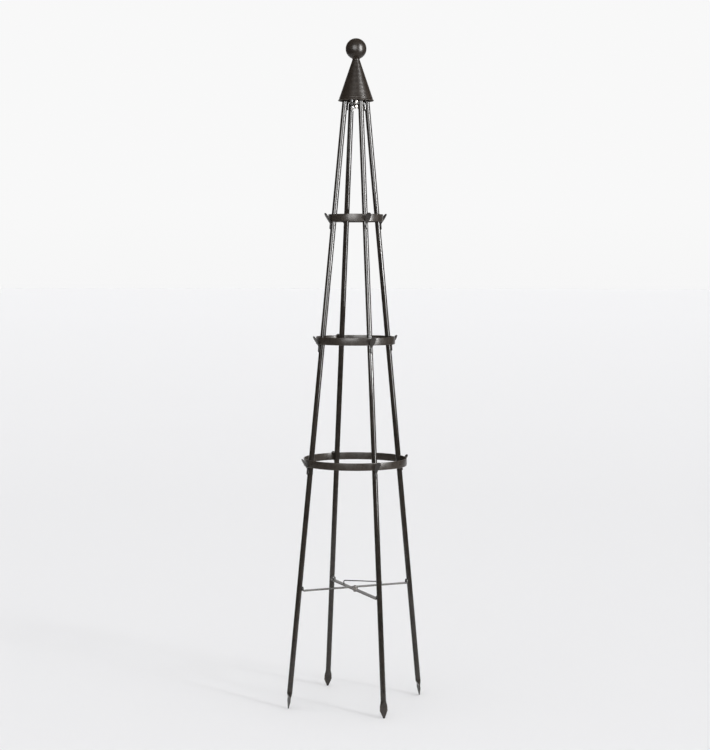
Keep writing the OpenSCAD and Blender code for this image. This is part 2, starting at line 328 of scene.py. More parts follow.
def paint(
    name, dark, light, worn, rough=(0.06, 0.13), peel=0.018 * MM, hammer=0.0, spun=0.0, gloss=0.4
):
    """Dark bronze paint over iron: cloudy colour, orange peel, grain and rubbed edges."""
    t = Tree(name)
    broad = t.remap(t.noise(9, 3), 0.35, 0.65)
    mottle = t.noise(70, 6, 0.65)
    runs = t.noise(60, 4, 0.6, (1, 1, 0.16))
    colour = t.mix(t.remap(mottle, 0.3, 0.72), dark, light)
    colour = t.mix(t.math("MULTIPLY", broad, 0.45), colour, light)
    edge = t.add("ShaderNodeAttribute", attribute_name="wear").outputs["Fac"]
    rubbed = t.math("MULTIPLY", edge, t.remap(t.noise(420, 5, 0.7), 0.4, 0.62))
    chips = t.remap(t.noise(260, 6, 0.75), 0.69, 0.74)
    colour = t.mix(t.math("MAXIMUM", rubbed, t.math("MULTIPLY", chips, 0.6)), colour, worn)
    t.feed(t.shader.inputs["Base Color"], colour)
    sheen_change = t.math("ADD", t.math("MULTIPLY", runs, 0.5), t.math("MULTIPLY", mottle, 0.5))
    roughness = t.remap(sheen_change, 0.32, 0.68, rough[0], rough[1])
    t.feed(t.shader.inputs["Roughness"], t.math("ADD", roughness, t.math("MULTIPLY", rubbed, 0.12)))
    normal = t.bump(t.noise(130, 3, 0.5), peel)
    normal = t.bump(t.noise(1400, 3, 0.6), 0.0015 * MM, normal)
    if hammer:
        normal = t.bump(t.cells(240), hammer, normal)
    if spun:
        normal = t.bump(t.noise(520, 2, 0.5, (0.01, 0.01, 1)), spun, normal)
    t.feed(t.shader.inputs["Normal"], normal)
    t.shader.inputs["Specular IOR Level"].default_value = gloss
    return t.material


def bare_steel(name, dark, light):
    """Darkened steel of nuts, bolts and rivets, with rust in its pores."""
    t = Tree(name)
    spots = t.remap(t.noise(500, 6, 0.7), 0.58, 0.7)
    colour = t.mix(t.remap(t.noise(260, 5, 0.6), 0.3, 0.7), dark, light)
    colour = t.mix(t.math("MULTIPLY", spots, 0.7), colour, (0.09, 0.045, 0.022, 1))
    t.feed(t.shader.inputs["Base Color"], colour)
    t.feed(t.shader.inputs["Roughness"], t.remap(t.noise(900, 4, 0.6), 0.3, 0.7, 0.24, 0.46))
    t.feed(t.shader.inputs["Metallic"], t.remap(spots, 0.0, 1.0, 0.9, 0.2))
    t.feed(t.shader.inputs["Normal"], t.bump(t.noise(1500, 3, 0.6), 0.012 * MM))
    return t.material


BRONZE_DARK = (0.0152, 0.0125, 0.0102, 1)
BRONZE_LIGHT = (0.035, 0.0292, 0.0242, 1)
BRONZE_WORN = (0.1, 0.08, 0.062, 1)

leg_paint = paint("leg_paint", BRONZE_DARK, BRONZE_LIGHT, BRONZE_WORN)
hook_paint = paint(
    "hook_paint", (0.011, 0.0095, 0.0082, 1), (0.04, 0.0365, 0.034, 1), (0.065, 0.057, 0.05, 1),
    (0.28, 0.42), hammer=0.09 * MM, gloss=0.25,
)
ring_paint = paint(
    "ring_paint", (0.019, 0.0152, 0.012, 1), (0.034, 0.0272, 0.0214, 1), BRONZE_WORN, (0.24, 0.36)
)
brace_paint = paint(
    "brace_paint", (0.016, 0.0145, 0.0128, 1), (0.036, 0.0332, 0.03, 1), (0.075, 0.066, 0.056, 1),
    (0.2, 0.32), gloss=0.7,
)
cap_paint = paint(
    "cap_paint", (0.021, 0.0152, 0.0112, 1), (0.036, 0.0272, 0.0203, 1), BRONZE_WORN, (0.3, 0.36),
    peel=0.006 * MM, spun=0.005 * MM, gloss=0.26,
)
steel = bare_steel("dark_steel", (0.16, 0.15, 0.14, 1), (0.36, 0.34, 0.32, 1))


# --- Legs: tubes pressed flat to a spear at the foot ---

SPEAR_LEN = 30 * MM
SPEAR_WIDEST = 22.6 * MM
SPEAR_THICK = 2.6 * MM
SPEAR_TIP_R = 4 * MM
SPEAR_TIP_UP = 3.5 * MM
PRESS_END = 54 * MM


def spear_half_width(s):
    """Half the leg's width at a distance s along it: round tip, spear, neck, then tube."""
    neck = SPEAR_HALF_W - 0.5 * MM
    if s >= SPEAR_LEN:
        return neck + (TUBE_R - neck) * smooth_step((s - SPEAR_LEN) / (PRESS_END - SPEAR_LEN))
    if s >= SPEAR_WIDEST:
        return SPEAR_HALF_W + (neck - SPEAR_HALF_W) * (s - SPEAR_WIDEST) / (SPEAR_LEN - SPEAR_WIDEST)
    if s >= SPEAR_TIP_UP:
        widened = (s - SPEAR_TIP_UP) / (SPEAR_WIDEST - SPEAR_TIP_UP)
        return SPEAR_TIP_R + (SPEAR_HALF_W - SPEAR_TIP_R) * widened
    return math.sqrt(max(SPEAR_TIP_R**2 - (s - SPEAR_TIP_UP) ** 2, (0.4 * MM) ** 2))


def leg_rows(seed):
    """Cross-sections from the spear's tip to the open top, then down inside the tube."""
    tip = SPEAR_TIP_UP - SPEAR_TIP_R
    stations = [tip + (PRESS_END - tip) * i / 56 for i in range(57)]
    stations += [PRESS_END + (TUBE_LEN - PRESS_END) * i / 150 for i in range(1, 151)]
    rows = []
    for s in stations:
        half_w = spear_half_width(s)
        press = smooth_step((s - SPEAR_LEN) / (PRESS_END - 6 * MM - SPEAR_LEN))
        half_t = SPEAR_THICK / 2 + (TUBE_R - SPEAR_THICK / 2) * press
        if s < SPEAR_WIDEST:
            half_t *= 0.72 + 0.28 * smooth_step(s / SPEAR_WIDEST)
        free = smooth_step((s - PRESS_END) / (100 * MM))
        row = []
        for x, y in squircle(half_t, half_w, 2 + 1.6 * (1 - press), 48):
            swell = 1 + 0.006 * free * lumps((x, y, s), 22, seed)
            row.append(Vector((x * swell, y * swell, s)))
        rows.append(row)
    bore = (TUBE_R - TUBE_WALL) / TUBE_R
    edge = 0.35 * MM
    top = rows[-1]
    rows[-1] = [Vector((p.x * (1 - edge / TUBE_R), p.y * (1 - edge / TUBE_R), p.z)) for p in top]
    rows.insert(-1, [Vector((p.x, p.y, p.z - edge)) for p in top])
    rows.append([Vector((p.x * bore, p.y * bore, p.z)) for p in top])
    rows.append([Vector((p.x * bore, p.y * bore, PRESS_END)) for p in top])
    return rows


def spear_wear(p):
    rim = smooth_step((abs(p.y) - 0.55 * spear_half_width(p.z)) / (6 * MM))
    return rim * (1 - smooth_step((p.z - SPEAR_LEN) / (14 * MM)))


for seed, (side, angle) in enumerate(DIRECTIONS.items()):
    bm = bmesh.new()
    skin(bm, leg_rows(seed))
    leg = piece(
        "leg_tube_" + side, bm, BODY_OF_LEG[side], leg_paint, ["leg_" + side],
        leg_matrix(angle), wear=spear_wear,
    )
    for v in leg.data.vertices:
        v.co.z = max(v.co.z, 0)


# --- Hooks: forged strips with a flared, hammered leaf ---

HOOK_T = 3 * MM
HOOK_STRIP_W = 7 * MM
HOOK_BEND_R = 10 * MM
HOOK_BEND_DOWN = 8.6 * MM
HOOK_FOOT_DOWN = 22 * MM
HOOK_TIP = 23 * MM
HOOK_FLARE = math.radians(37)
HOOK_GAP = 0.02 * MM
LEAF_HALF_W = span("hook_right_lower").y / 2


def hook_half_width(h):
    strip = HOOK_STRIP_W / 2
    centre = HOOK_TIP - LEAF_HALF_W
    if h < strip - HOOK_FOOT_DOWN:
        return math.sqrt(max(strip**2 - (h - strip + HOOK_FOOT_DOWN) ** 2, (0.5 * MM) ** 2))
    if h < centre:
        opened = smooth_step((h + HOOK_BEND_DOWN) / (centre + HOOK_BEND_DOWN))
        return strip + (LEAF_HALF_W - strip) * opened
    return math.sqrt(max(LEAF_HALF_W**2 - (h - centre) ** 2, (0.6 * MM) ** 2))


def hook_path():
    """The middle of the strip, in the leg's own X and Z, from its foot to the leaf's tip."""
    bend = Vector((HOOK_T + HOOK_BEND_R, 0, -HOOK_BEND_DOWN))
    r = HOOK_BEND_R + HOOK_T / 2
    path = [Vector((HOOK_T / 2, 0, -HOOK_FOOT_DOWN)), Vector((HOOK_T / 2, 0, -HOOK_BEND_DOWN))]
    for i in range(1, 9):
        a = math.pi - HOOK_FLARE * i / 8
        path.append(bend + Vector((r * math.cos(a), 0, r * math.sin(a))))
    rise = (HOOK_TIP - 0.6 * MM - path[-1].z) / math.cos(HOOK_FLARE)
    path.append(path[-1] + rise * Vector((math.sin(HOOK_FLARE), 0, math.cos(HOOK_FLARE))))
    return subdivided(path, 0.8 * MM)


def hook_rows(seed):
    path = hook_path()
    rows = []
    for i, p in enumerate(path):
        tangent = (path[min(i + 1, len(path) - 1)] - path[max(i - 1, 0)]).normalized()
        normal = Vector((tangent.z, 0, -tangent.x))
        half_w = hook_half_width(p.z)
        leaf = smooth_step((p.z + HOOK_BEND_DOWN / 2) / HOOK_TIP)
        half_t = HOOK_T / 2 * (1 - 0.32 * leaf)
        row = []
        for x, y in rounded_rect(half_t, half_w, half_t * 0.8, 4):
            dish = leaf * 0.9 * MM * (1 - (y / half_w) ** 2)
            dent = 0.35 * MM * leaf * lumps((x * 0.3, y, p.z), 260, seed)
            row.append(p + normal * (x + dish * 0.5 + dent) + Vector((0, y, 0)))
        rows.append(row)
    return rows


def hook_wear(p):
    rim = smooth_step((abs(p.y) - hook_half_width(p.z) + 1.6 * MM) / (1.4 * MM))
    return max(rim, smooth_step((p.z - HOOK_TIP + 4 * MM) / (4 * MM))) * (p.z > -HOOK_BEND_DOWN)


def hook_welds(bm, seed):
    """Weld runs down both sides of the strip's foot and round its end."""
    low, high = -HOOK_FOOT_DOWN + 1.5 * MM, -HOOK_BEND_DOWN - 1 * MM
    for side in (-1, 1):
        y = side * (HOOK_STRIP_W / 2 + 0.3 * MM)
        path = [Vector((0.2 * MM, y, low)), Vector((0.2 * MM, y, high))]
        weld_bead(bm, path, 1.5 * MM, seed + side)
    end = [
        Vector((0.1 * MM, side * 2.6 * MM, -HOOK_FOOT_DOWN + 0.1 * MM)) for side in (-1, 1)
    ]
    weld_bead(bm, end, 1.5 * MM, seed + 5)


seed = 0
for side, angle in DIRECTIONS.items():
    for level in LEVELS:
        seed += 1
        bm = bmesh.new()
        skin(bm, hook_rows(seed))
        hook_welds(bm, seed)
        seat = Matrix.Translation((TUBE_R + HOOK_GAP, 0, along_leg(RING_LOW[level], TUBE_R)))
        piece(
            f"forged_hook_{side}_{level}", bm, BODY_OF_LEG[side], hook_paint,
            [f"hook_{side}_{level}"], leg_matrix(angle) @ seat, 50, hook_wear,
        )


# --- Rings: rounded flat bands, butt-welded behind ---

RING_SEAM = math.radians(135)

for index, level in enumerate(LEVELS):
    inner, outer = RING_RADII[level]
    low, high = RING_LOW[level], RING_HIGH[level]
    middle_r, middle_z = (inner + outer) / 2, (low + high) / 2
    section = rounded_rect((outer - inner) / 2, (high - low) / 2, 0.9 * MM, 4)
    bm = bmesh.new()
    lathe(bm, [(middle_r + x, middle_z + y) for x, y in section], 288)
    seam = Vector((math.cos(RING_SEAM), math.sin(RING_SEAM), 0))
    for r in (inner + 0.3 * MM, outer - 0.3 * MM):
        ends = [seam * r + Vector((0, 0, z)) for z in (low + 1 * MM, high - 1 * MM)]
        weld_bead(bm, ends, 1.1 * MM, index + r)

    def band_wear(p, low=low, high=high):
        edge = min(abs(p.z - low), abs(p.z - high))
        return 1 - smooth_step(edge / (1.6 * MM))

    piece(
        "band_" + level, bm, level + "_ring", ring_paint, ["ring_" + level],
        wear=band_wear,
    )


# --- Brace bars and top yokes: flat straps with bent, round-ended tabs ---

BAR_T = 3 * MM
BAR_BEND_R = 3.2 * MM
YOKE_T = 3 * MM
YOKE_BEND_R = 2.6 * MM
STRAP_CORNER = 0.35 * MM
SLOT_R = 2.4 * MM
SLOT_TRAVEL = 2.3 * MM
PIVOT = Vector(joint("lock_rod_lift")["pos_m"])
SLOT = Vector((0, PIVOT.x + 0.2 * MM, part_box("brace_bar_lower")[0].z))


def strap(name, node, body, angle, tabs_up, thick, bend_r, slot_at=None):
    """A flat bar between two opposite legs, with a tab at each end that leans as the leg does."""
    lo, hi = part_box(node)
    turned = Matrix.Rotation(math.radians(angle), 4, "Z")
    across_x = angle == 0
    reach = hi.x if across_x else hi.y
    half_w = (hi.y - lo.y) / 2 if across_x else (hi.x - lo.x) / 2
    z_flat = lo.z + thick / 2 if tabs_up else hi.z - thick / 2
    z_tab = hi.z if tabs_up else lo.z

    def tab_x(z):
        return reach - (z - lo.z) * math.tan(LEAN) - thick / 2 / math.cos(LEAN)

    right_half = [(tab_x(z_flat), 0, z_flat), (tab_x(z_tab), 0, z_tab)]
    corners = [(-x, y, z) for x, y, z in reversed(right_half)] + right_half
    path = subdivided(filleted(corners, (bend_r, bend_r)), 2 * MM)
    path = round_end_stations(path, half_w)

    def section(gone, length):
        end = min(gone, length - gone)
        w = half_w
        if end < half_w:
            w = math.sqrt(max(half_w**2 - (half_w - end) ** 2, (0.8 * MM) ** 2))
        return rounded_rect(w, thick / 2, STRAP_CORNER)

    bm = bmesh.new()
    skin(bm, sweep_rows(path, Vector((0, 1, 0)), section))

    def strap_wear(p):
        rim = smooth_step((abs(p.y) - half_w + 1.4 * MM) / (1.4 * MM))
        bends = smooth_step((abs(p.x) - tab_x(z_flat) + 4 * MM) / (4 * MM))
        return max(rim, 0.5 * bends)

    obj = piece(name, bm, body, brace_paint, [node], turned, wear=strap_wear)
    if slot_at:
        cut_slot(obj, slot_at, z_flat)


def round_end_stations(path, half_w):
    """More points near both ends, so that a tab's round end is round."""

    def dense(points):
        out, gone = [points[0]], 0
        for a, b in zip(points, points[1:]):
            gone += (b - a).length
            count = 5 if gone < half_w else 1
            out += [a.lerp(b, i / count) for i in range(1, count + 1)]
        return out

    return dense(dense(path)[::-1])[::-1]


def cut_slot(obj, centre, z):
    """Cuts the long hole that the lock rod's tip drops into."""
    bm = bmesh.new()
    rows = []
    for dz in (-6 * MM, 6 * MM):
        row = []
        for i in range(32):
            a = 2 * math.pi * (i + 0.5) / 32
            shift = -SLOT_TRAVEL if math.cos(a) < 0 else 0
            x, y = centre.x + shift + SLOT_R * math.cos(a), centre.y + SLOT_R * math.sin(a)
            row.append(Vector((x, y, z + dz)))
        rows.append(row)
    skin(bm, rows)
    bmesh.ops.recalc_face_normals(bm, faces=bm.faces)
    cutter_mesh = bpy.data.meshes.new("slot_cutter")
    bm.to_mesh(cutter_mesh)
    bm.free()
    cutter = bpy.data.objects.new("slot_cutter", cutter_mesh)
    bpy.context.scene.collection.objects.link(cutter)
    cut = obj.modifiers.new("slot", "BOOLEAN")
    cut.object = cutter
    cut.solver = "EXACT"
    made = bpy.data.meshes.new_from_object(obj.evaluated_get(bpy.context.evaluated_depsgraph_get()))
    obj.modifiers.remove(cut)
    obj.data = made
    bpy.data.objects.remove(cutter)


strap(
    "brace_strap_lower", "brace_bar_lower", "front_back_frame", 90, True, BAR_T, BAR_BEND_R, SLOT
)
strap("brace_strap_upper", "brace_bar_upper", "side_frame", 0, True, BAR_T, BAR_BEND_R)
strap("yoke_strap_lower", "yoke_lower", "front_back_frame", 90, False, YOKE_T, YOKE_BEND_R)
strap("yoke_strap_upper", "yoke_upper", "side_frame", 0, False, YOKE_T, YOKE_BEND_R)


# --- Lock rod: bent wire with an upset head ---

WIRE_R = 1.6 * MM
HEAD_R = 2.8 * MM
HEAD_LEN = 1.2 * MM
HEAD_ARM = 6.1 * MM
ROD_DROP = 4.5 * MM


def lock_rod():
    """A head and short arm in the lug, a sloping run, and a tip that drops into the slot."""
    run_across = PIVOT.x * math.sqrt(2)
    slope = math.asin(ROD_DROP / run_across)
    tip_len = PIVOT.z - ROD_DROP - SLOT.z + 1 * MM
    run = (run_across + tip_len * math.sin(slope)) / math.cos(slope)
    head = HEAD_ARM + HEAD_LEN
    path = filleted(
        [(0, head, 0), (0, 0, 0), (run, 0, 0), (run, 0, -tip_len)], (2.4 * MM, 4 * MM), 8
    )
    start = Vector((0, head, 0))
    extra = [start + Vector((0, -d, 0)) for d in (0.25 * MM, HEAD_LEN, HEAD_LEN + 0.3 * MM)]
    path = [start, *extra, *subdivided(path[1:], 3 * MM)]
    end = path[-1]
    path = [*path[:-1], end + Vector((0, 0, 0.5 * MM)), end]
    rows, gone = [], 0
    side = Vector((1, 0, 0))
    length = sum((b - a).length for a, b in zip(path, path[1:]))
    for i, p in enumerate(path):
        if i:
            gone += (p - path[i - 1]).length
        tangent = (path[min(i + 1, len(path) - 1)] - path[max(i - 1, 0)]).normalized()
        side = (side - tangent * side.dot(tangent)).normalized()
        normal = tangent.cross(side)
        r = WIRE_R
        if gone <= HEAD_LEN + 1e-9:
            r = HEAD_R - (0.3 * MM if gone == 0 else 0)
        if length - gone < 0.1 * MM:
            r = WIRE_R - 0.45 * MM
        rows.append([p + side * u + normal * v for u, v in squircle(r, r, 2, 20)])
    bm = bmesh.new()
    skin(bm, rows)
    place = (
        Matrix.Translation(PIVOT)
        @ Matrix.Rotation(math.radians(135), 4, "Z")
        @ Matrix.Rotation(slope, 4, "Y")
    )

    def rod_wear(p):
        return 0.9 * smooth_step((-p.z - 4 * MM) / (8 * MM))

    piece(
        "lock_wire", bm, "lock_rod", brace_paint, ["lock_rod"], place, wear=rod_wear
    )


lock_rod()


# --- Hardware: chamfered nuts, a threaded stud, a round-headed bolt and rivets ---

STUD_R = span("pivot_stud").x / 2
STUD_PITCH = 1.25 * MM
STUD_THREAD = 0.6 * MM
BOLT_R = 3 * MM
BOLT_HEAD_H = 3.3 * MM
RIVET_R = 2.4 * MM
RIVET_HEAD_R = 4.2 * MM
RIVET_HEAD_H = 2.4 * MM
RIVET_SEAT_GAP = 0.05 * MM
RIVET_START = 3.7 * MM
RIVET_SET_H = 1.5 * MM


def hex_nut(name, node, bore_r):
    """A nut with its six corners cut back at 30 degrees, above and below."""
    lo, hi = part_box(node)
    half = (hi.y - lo.y) / 2
    cut_r = half * 0.985
    rise = math.tan(math.radians(30))
    rows = []
    for k in range(72):
        a = 2 * math.pi * k / 72
        flat = (a + math.pi / 6) % (math.pi / 3) - math.pi / 6
        corner_r = half / math.cos(math.pi / 6 - abs(flat))
        drop = (corner_r - cut_r) * rise
        profile = [
            (bore_r, lo.z + 0.5 * MM), (bore_r + 0.5 * MM, lo.z), (cut_r, lo.z),
            (corner_r, lo.z + drop), (corner_r, hi.z - drop), (cut_r, hi.z),
            (bore_r + 0.5 * MM, hi.z), (bore_r, hi.z - 0.5 * MM),
        ]
        rows.append([Vector((r * math.cos(a), r * math.sin(a), z)) for r, z in profile])
    bm = bmesh.new()
    skin(bm, rows, loop=True)
    piece(name, bm, "front_back_frame", steel, [node], sharp=20)


def threaded_stud(name, node, pitch, depth):
    """A rod with one helical groove that fades out at both ends."""
    lo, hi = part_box(node)
    r = (hi.x - lo.x) / 2
    segments, steps = 24, 4
    rows_per_m = steps / pitch
    count = int((hi.z - lo.z) * rows_per_m)
    rows = []
    for i in range(count + 1):
        z = lo.z + i / rows_per_m
        end = min(z - lo.z, lo.z + count / rows_per_m - z)
        fade = smooth_step(end / pitch)
        row = []
        for k in range(segments):
            a = 2 * math.pi * k / segments
            phase = ((z / pitch) - k / segments) % 1
            cut = depth * (1 - abs(2 * phase - 1)) * fade + depth * (1 - fade)
            row.append(Vector(((r - cut) * math.cos(a), (r - cut) * math.sin(a), z)))
        rows.append(row)
    bm = bmesh.new()
    skin(bm, rows)
    piece(name, bm, "front_back_frame", steel, [node], sharp=60)


def dome_points(r, height, base, steps=10):
    """The outline of a low round head, from its rim to its top."""
    ball = (r * r + height * height) / (2 * height)
    rim = math.asin(r / ball)
    turns = [rim * (1 - i / steps) for i in range(steps)]
    arc = [(ball * math.sin(a), base + height - ball + ball * math.cos(a)) for a in turns]
    return [(r - 0.3 * MM, base), *arc, (0, base + height)]


def round_head_bolt(name, node):
    lo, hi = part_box(node)
    seat = hi.z - BOLT_HEAD_H
    shank = [(0, lo.z), (BOLT_R - 0.5 * MM, lo.z), (BOLT_R, lo.z + 0.5 * MM), (BOLT_R, seat)]
    bm = bmesh.new()
    lathe(bm, shank + dome_points((hi.x - lo.x) / 2, BOLT_HEAD_H, seat), 48, closed=False)
    piece(name, bm, "front_back_frame", steel, [node], sharp=40)


def blind_rivets(name, node, body, angle, strap_t, material):
    """Rivets through two opposite legs: a swelled end inside each tube, a domed head on the strap."""
    lo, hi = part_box(node)
    head = TUBE_R + RIVET_SEAT_GAP + strap_t
    swell, swell_end = RIVET_R + 1 * MM, RIVET_START + RIVET_SET_H
    profile = [
        (0, RIVET_START), (swell - 0.3 * MM, RIVET_START), (swell, RIVET_START + 0.3 * MM),
        (swell, swell_end), (RIVET_R, swell_end), (RIVET_R, head),
        *dome_points(RIVET_HEAD_R, RIVET_HEAD_H, head),
    ]
    along = along_leg((lo.z + hi.z) / 2, -head)
    bm = bmesh.new()
    for turn in (angle, angle + 180):
        before = set(bm.verts)
        lathe(bm, profile, 40, closed=False)
        made = [v for v in bm.verts if v not in before]
        inwards = Matrix.Translation((0, 0, along)) @ Matrix.Rotation(-math.pi / 2, 4, "Y")
        bmesh.ops.transform(bm, matrix=leg_matrix(turn) @ inwards, verts=made)
    piece(name, bm, body, material, [node], sharp=40)


for nut_node in ("stud_nut", "yoke_lock_nut", "cap_nut"):
    hex_nut("hex_" + nut_node, nut_node, STUD_R)
hex_nut("hex_brace_nut", "brace_nut", BOLT_R)
threaded_stud("threaded_stud", "pivot_stud", STUD_PITCH, STUD_THREAD)
round_head_bolt("round_head_brace_bolt", "brace_bolt")
blind_rivets(
    "blind_brace_rivets_lower", "brace_rivets_lower", "front_back_frame", 90, BAR_T, brace_paint
)
blind_rivets("blind_brace_rivets_upper", "brace_rivets_upper", "side_frame", 0, BAR_T, brace_paint)
blind_rivets("blind_yoke_rivets_lower", "yoke_rivets_lower", "front_back_frame", 90, YOKE_T, steel)
blind_rivets("blind_yoke_rivets_upper", "yoke_rivets_upper", "side_frame", 0, YOKE_T, steel)


# --- Cap: spun cone with a flared lip, collar and ball ---

RIM_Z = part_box("cap_cone")[0].z
CONE_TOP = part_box("cap_cone")[1].z
RIM_R = span("cap_cone").x / 2
COLLAR_R = span("cap_collar").x / 2
COLLAR_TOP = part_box("cap_collar")[1].z
LIP_H = 9 * MM
LIP_OUT = 3.1 * MM
SHEET = 1.4 * MM
RIM_BEAD = 1.5 * MM
TOP_PLATE = 3 * MM
BORE_R = 4.3 * MM
LIP_R = RIM_R - RIM_BEAD / 2 - LIP_OUT
LIP_Z = RIM_Z + LIP_H


def cone_r(z):
    """The cone's outer radius at height z."""
    return COLLAR_R + (LIP_R - COLLAR_R) * (CONE_TOP - z) / (CONE_TOP - LIP_Z)


def lip_flare(t):
    """How far out the lip has turned, both from 0 at its top to 1 at its rim."""
    return 0.35 * t + 0.65 * t * t


def cone_profile():
    """Down the outside, round the rolled rim, and back up inside."""
    edge_z = RIM_Z + RIM_BEAD
    edge_r = LIP_R + LIP_OUT - RIM_BEAD / 2
    outside = [(BORE_R, CONE_TOP), (COLLAR_R - 0.5 * MM, CONE_TOP)]
    for i in range(61):
        t = i / 60
        z = CONE_TOP - 0.5 * MM + (LIP_Z + 1.5 * MM - CONE_TOP + 0.5 * MM) * t
        outside.append((cone_r(z) + 0.05 * MM * math.sin(z / (2.1 * MM)), z))
    for i in range(7):
        a = math.pi / 2 - math.pi * i / 6
        outside.append((LIP_R + 0.1 * MM + 0.6 * MM * math.cos(a), LIP_Z + 0.7 * MM * math.sin(a)))
    for i in range(1, 11):
        t = i / 10
        z = LIP_Z - 0.9 * MM + (edge_z + 2.2 * MM - LIP_Z) * t
        outside.append((LIP_R + (LIP_OUT - 0.4 * MM) * lip_flare(t), z))
    for i in range(12):
        a = math.radians(75 - 255 * i / 11)
        outside.append((edge_r + RIM_BEAD * math.cos(a), edge_z + RIM_BEAD * math.sin(a)))
    inside = []
    for i in range(8, -1, -1):
        t = i / 8
        z = LIP_Z + (edge_z + 1.6 * MM - LIP_Z) * t
        inside.append((LIP_R - SHEET * 1.1 + (LIP_OUT - 1.1 * MM) * lip_flare(t), z))
    plate_z = CONE_TOP - TOP_PLATE
    for i in range(1, 21):
        z = LIP_Z + (plate_z - LIP_Z) * i / 20
        inside.append((cone_r(z) - SHEET * 1.06, z))
    inside.append((BORE_R, plate_z))
    return outside + inside


def cone_wear(p):
    near_rim = 1 - smooth_step(abs(p.z - RIM_Z) / (4 * MM))
    near_lip = 1 - smooth_step(abs(p.z - LIP_Z) / (1.6 * MM))
    return max(near_rim, 0.7 * near_lip) * (math.hypot(p.x, p.y) > LIP_R - 0.4 * MM)


bm = bmesh.new()
lathe(bm, cone_profile(), 240)
piece("spun_cone", bm, "cap", cap_paint, ["cap_cone"], sharp=40, wear=cone_wear)


def collar_profile():
    """A short spool with a slight waist and faint turning marks."""
    bevel = 0.8 * MM
    points = [(BORE_R, CONE_TOP), (COLLAR_R - 0.2 * MM, CONE_TOP)]
    for i in range(25):
        t = i / 24
        z = CONE_TOP + (COLLAR_TOP - bevel - CONE_TOP) * t
        waist = 0.5 * MM * math.sin(math.pi * t) + 0.02 * MM * math.sin(t * 60)
        points.append((COLLAR_R - waist, z))
    points += [(COLLAR_R - bevel, COLLAR_TOP), (BORE_R, COLLAR_TOP)]
    return points


def collar_wear(p):
    return 1 - smooth_step(abs(p.z - COLLAR_TOP) / (1.4 * MM))


bm = bmesh.new()
lathe(bm, collar_profile(), 128)
piece("collar_spool", bm, "cap", cap_paint, ["cap_collar"], wear=collar_wear)


def ball_profile():
    """A ball with a flat at its base and a blind bore for the stud."""
    lo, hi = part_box("ball")
    r = (hi.x - lo.x) / 2
    centre = hi.z - r
    bore = STUD_R + 0.05 * MM
    bore_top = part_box("pivot_stud")[1].z + 1 * MM
    base_angle = math.acos((centre - lo.z) / r)
    points = [(0, bore_top), (bore, bore_top), (bore, lo.z + 0.4 * MM), (bore + 0.4 * MM, lo.z)]
    for i in range(97):
        a = base_angle + (math.pi - base_angle) * i / 96
        points.append((r * math.sin(a), centre - r * math.cos(a)))
    points[-1] = (0, hi.z)
    return points


def ball_wear(p):
    return 1 - smooth_step((p.z - COLLAR_TOP) / (2.5 * MM))


bm = bmesh.new()
lathe(bm, ball_profile(), 192, closed=False)
piece("finial", bm, "finial_ball", cap_paint, ["ball"], sharp=40, wear=ball_wear)


# --- CAD nodes that stay: softened edges and their own finish ---

STAYING = {
    "brace_spacer": (steel, 0.4 * MM),
    "yoke_washer": (steel, 0.25 * MM),
    "lock_lug": (brace_paint, 0.4 * MM),
}
for name, (material, bevel) in STAYING.items():
    node = frame["nodes"][name]
    node.data.materials.clear()
    node.data.materials.append(material)
    soft = node.modifiers.new("soft_edges", "BEVEL")
    soft.width = bevel
    soft.segments = 3
    soft.limit_method = "ANGLE"
    soft.angle_limit = math.radians(40)
    soft.harden_normals = True


# --- Camera ---

CAMERA_AWAY = 5.197
CAMERA_UP = 1.316
CAMERA_TURN = math.radians(-23.27)
CAMERA_TILT = math.radians(-3.63)
CAMERA_ROLL = math.radians(0.11)
CAMERA_PAN = math.radians(0.014)
CAMERA_LENS = 83.9
CAMERA_CLIP_END = 400
FORWARD = Vector((-math.sin(CAMERA_TURN), math.cos(CAMERA_TURN), 0))
RIGHTWARD = Vector((math.cos(CAMERA_TURN), math.sin(CAMERA_TURN), 0))

camera_data = bpy.data.cameras.new("camera")
camera_data.lens = CAMERA_LENS
camera_data.clip_end = CAMERA_CLIP_END
camera = bpy.data.objects.new("camera", camera_data)
camera.location = -FORWARD * CAMERA_AWAY + Vector((0, 0, CAMERA_UP))
camera.rotation_euler = (
    Matrix.Rotation(CAMERA_TURN + CAMERA_PAN, 3, "Z")
    @ Matrix.Rotation(math.pi / 2 + CAMERA_TILT, 3, "X")
    @ Matrix.Rotation(CAMERA_ROLL, 3, "Z")
).to_euler()
bpy.context.scene.collection.objects.link(camera)
bpy.context.scene.camera = camera
bpy.context.scene.view_settings.view_transform = "Standard"


# --- Floor and backdrop ---

FLOOR_R = 90
BACKDROP = 0.94
# Floor tone by distance in metres, painted light: darker near the object, brighter far off.
FLOOR_PAINTED_LIGHT = ((0.0, 0.817), (4.5, 0.817), (9.0, 0.842), (20.0, 0.868), (40.0, 0.888), (90.0, 0.9))
FLAG_AHEAD = -1.1
FLAG_ASIDE = 1.8
FLAG_SPREAD = 0.35
FLAG_FAR = 60
FLAG_UP = 2 * MM


